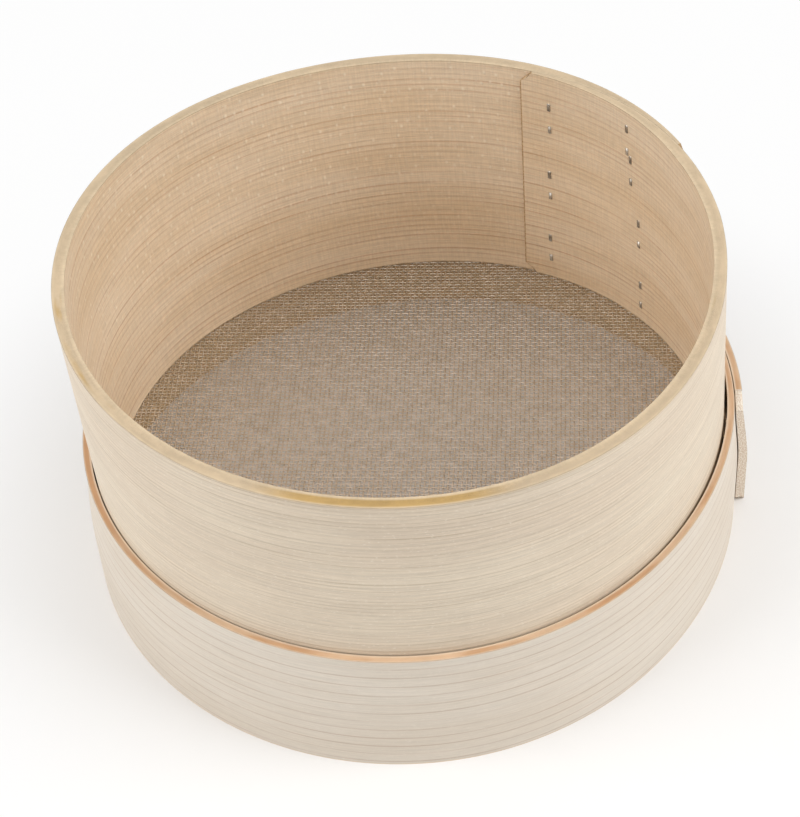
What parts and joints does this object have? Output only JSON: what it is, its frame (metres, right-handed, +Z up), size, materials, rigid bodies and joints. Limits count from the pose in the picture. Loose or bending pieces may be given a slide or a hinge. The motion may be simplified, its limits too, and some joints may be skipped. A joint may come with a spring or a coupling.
{
  "type": "drum sieve",
  "caption": "Bentwood drum sieve: a lapped and stapled wooden drum over a flat woven wire cloth, held by a second bent band.",
  "frame": {"origin": "on the drum's axis, at the level of the surface that the sieve stands on", "axes": "+Z up along the drum's axis, towards the rim; -Y towards the front; the band's free end is at the right, near +X"},
  "size_m": [0.222, 0.2185, 0.1179],
  "materials": {
    "drum_wood": "sanded, unfinished pale softwood",
    "band_wood": "sanded, unfinished pinkish softwood",
    "wire_mesh": "plain-woven stainless wire",
    "staple_steel": "galvanised wire"
  },
  "bodies": {
    "root": {"drum_hoop": "drum_wood", "outer_band": "band_wood", "wire_cloth": "wire_mesh", "cloth_turned_edge": "wire_mesh", "seam_staple_1": "staple_steel", "seam_staple_2": "staple_steel", "seam_staple_3": "staple_steel", "lap_staple_1": "staple_steel", "lap_staple_2": "staple_steel", "lap_staple_3": "staple_steel", "lap_staple_4": "staple_steel", "band_staple_1": "staple_steel", "band_staple_2": "staple_steel"}
  },
  "joints": []
}
